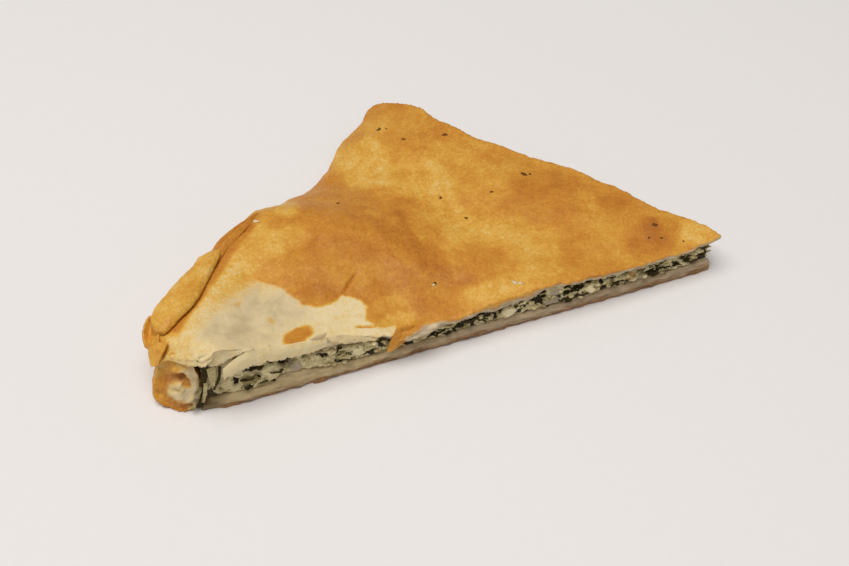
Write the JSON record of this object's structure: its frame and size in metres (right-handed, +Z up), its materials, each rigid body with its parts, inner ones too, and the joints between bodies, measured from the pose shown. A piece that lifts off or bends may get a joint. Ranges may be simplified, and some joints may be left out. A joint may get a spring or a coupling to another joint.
{
  "type": "spinach and cheese pie slice",
  "caption": "Triangular slice of thin spinach and cheese pie: flaky browned lid, rolled rim on one side, layered knife cuts on the others.",
  "frame": {"origin": "centre of the footprint box, at the height of the surface that the slice rests on", "axes": "+X along the long cut, from the rolled rim to the thin tip; +Y from that cut to the back corner; +Z up"},
  "size_m": [0.1442, 0.0927, 0.0202],
  "materials": {
    "base_dough": "dull, slightly moist baked dough",
    "filling": "moist dark spinach leaves with white cheese crumbs",
    "browned_crust": "golden brown baked pastry with a faint sheen",
    "rim_dough": "golden baked dough, paler where it is cut"
  },
  "bodies": {
    "root": {"base_pastry": "base_dough", "spinach_filling": "filling", "top_pastry": "browned_crust", "rolled_rim": "rim_dough", "rim_lip": "browned_crust"}
  },
  "joints": []
}
